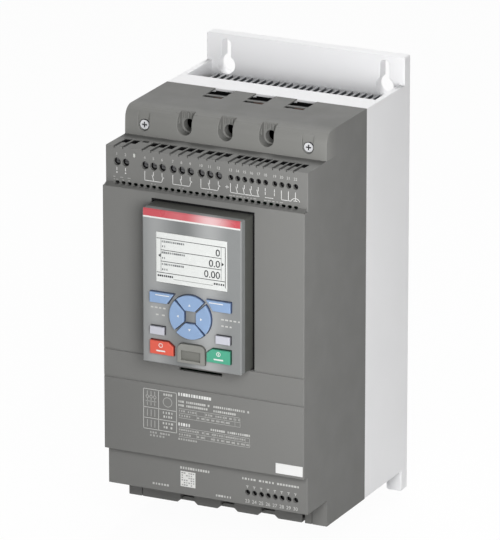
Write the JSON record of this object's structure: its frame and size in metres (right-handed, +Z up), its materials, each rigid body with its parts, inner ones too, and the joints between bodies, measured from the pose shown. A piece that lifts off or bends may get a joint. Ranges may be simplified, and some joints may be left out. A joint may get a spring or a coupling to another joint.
{
  "type": "soft starter",
  "caption": "Wall-mounted electronic motor soft starter with heat sink chassis, plastic housing, control terminals and a pull-out keypad with display and keys.",
  "frame": {"origin": "centre of the flat back face of the chassis plate, which lies on the cabinet's mounting plate", "axes": "+Z up in use, -Y out of the front, +X to the right of someone facing the front, +Y into the mounting plate"},
  "size_m": [0.15, 0.1884, 0.314],
  "materials": {
    "chassis": "smooth light grey paint",
    "heat_sink": "extruded",
    "sheet_steel": "galvanised",
    "fan_frame": "matt",
    "fan_rotor": "satin",
    "screws": "zinc plated",
    "rear_plastic": "fine grain",
    "front_plastic": "fine grain",
    "label": "matt",
    "module": "moulded",
    "copper": "bare copper",
    "clamp": "dark passivated",
    "dark_plastic": "moulded",
    "board": "solder resist",
    "light": "clear moulded",
    "keypad": "satin",
    "keypad_back": "matt",
    "window": "clear sheet over the display",
    "blue_key": "satin silicone",
    "grey_key": "satin silicone",
    "stop_key": "satin silicone",
    "start_key": "satin silicone",
    "flap": "matt"
  },
  "bodies": {
    "base": {"chassis": "chassis", "heat_sink": "heat_sink", "fan_tray": "sheet_steel", "fan_frame_left": "fan_frame", "fan_frame_right": "fan_frame", "fan_screws": "screws", "cover_screws": "screws", "module_screws": "screws", "clamp_screws": "screws", "terminal_screws_large": "screws", "terminal_screws_small": "screws", "housing": "rear_plastic", "line_cover": "rear_plastic", "load_cover": "rear_plastic", "front_cover": "front_plastic", "lower_cover": "front_plastic", "id_label": "label", "thyristor_1": "module", "thyristor_2": "module", "thyristor_3": "module", "line_bar_1": "copper", "line_bar_2": "copper", "line_bar_3": "copper", "load_bar_1": "copper", "load_bar_2": "copper", "load_bar_3": "copper", "line_clamp_1": "clamp", "line_clamp_2": "clamp", "line_clamp_3": "clamp", "load_clamp_1": "clamp", "load_clamp_2": "clamp", "load_clamp_3": "clamp", "insulating_sheet": "dark_plastic", "current_sensor": "dark_plastic", "bypass_contactor": "dark_plastic", "terminal_block_supply": "dark_plastic", "terminal_block_relays": "dark_plastic", "terminal_block_signals": "dark_plastic", "terminal_block_lower": "dark_plastic", "power_board": "board", "control_board": "board", "status_light": "light"},
    "keypad": {"keypad_case": "keypad", "keypad_back": "keypad_back", "display_window": "window", "display_module": "dark_plastic", "keypad_board": "board"},
    "key_soft_left": {"key_soft_left": "blue_key"},
    "key_soft_right": {"key_soft_right": "blue_key"},
    "key_up": {"key_up": "blue_key"},
    "key_down": {"key_down": "blue_key"},
    "key_left": {"key_left": "blue_key"},
    "key_right": {"key_right": "blue_key"},
    "key_info": {"key_info": "grey_key"},
    "key_mode": {"key_mode": "grey_key"},
    "key_stop": {"key_stop": "stop_key"},
    "key_start": {"key_start": "start_key"},
    "usb_flap": {"usb_flap": "flap"},
    "fan_rotor_left": {"fan_rotor_left": "fan_rotor"},
    "fan_rotor_right": {"fan_rotor_right": "fan_rotor"}
  },
  "joints": [
    {"name": "keypad_slide", "type": "slide", "parent": "base", "child": "keypad", "axis": [0, -1, 0], "range_m": [0, 0.04]},
    {"name": "key_soft_left_press", "type": "slide", "parent": "keypad", "child": "key_soft_left", "axis": [0, 1, 0], "range_m": [0, 0.0008], "stiffness_N_per_m": 1200},
    {"name": "key_soft_right_press", "type": "slide", "parent": "keypad", "child": "key_soft_right", "axis": [0, 1, 0], "range_m": [0, 0.0008], "stiffness_N_per_m": 1200},
    {"name": "key_up_press", "type": "slide", "parent": "keypad", "child": "key_up", "axis": [0, 1, 0], "range_m": [0, 0.0008], "stiffness_N_per_m": 1200},
    {"name": "key_down_press", "type": "slide", "parent": "keypad", "child": "key_down", "axis": [0, 1, 0], "range_m": [0, 0.0008], "stiffness_N_per_m": 1200},
    {"name": "key_left_press", "type": "slide", "parent": "keypad", "child": "key_left", "axis": [0, 1, 0], "range_m": [0, 0.0008], "stiffness_N_per_m": 1200},
    {"name": "key_right_press", "type": "slide", "parent": "keypad", "child": "key_right", "axis": [0, 1, 0], "range_m": [0, 0.0008], "stiffness_N_per_m": 1200},
    {"name": "key_info_press", "type": "slide", "parent": "keypad", "child": "key_info", "axis": [0, 1, 0], "range_m": [0, 0.0008], "stiffness_N_per_m": 1200},
    {"name": "key_mode_press", "type": "slide", "parent": "keypad", "child": "key_mode", "axis": [0, 1, 0], "range_m": [0, 0.0008], "stiffness_N_per_m": 1200},
    {"name": "key_stop_press", "type": "slide", "parent": "keypad", "child": "key_stop", "axis": [0, 1, 0], "range_m": [0, 0.0008], "stiffness_N_per_m": 1200},
    {"name": "key_start_press", "type": "slide", "parent": "keypad", "child": "key_start", "axis": [0, 1, 0], "range_m": [0, 0.0008], "stiffness_N_per_m": 1200},
    {"name": "usb_flap_hinge", "type": "hinge", "parent": "keypad", "child": "usb_flap", "pos_m": [0, -0.1874, -0.0187], "axis": [1, 0, 0], "range_deg": [0, 100]},
    {"name": "fan_left_spin", "type": "hinge", "parent": "base", "child": "fan_rotor_left", "pos_m": [-0.034, -0.03875, -0.1304], "axis": [0, 0, 1], "continuous": true},
    {"name": "fan_right_spin", "type": "hinge", "parent": "base", "child": "fan_rotor_right", "pos_m": [0.034, -0.03875, -0.1304], "axis": [0, 0, 1], "continuous": true}
  ]
}
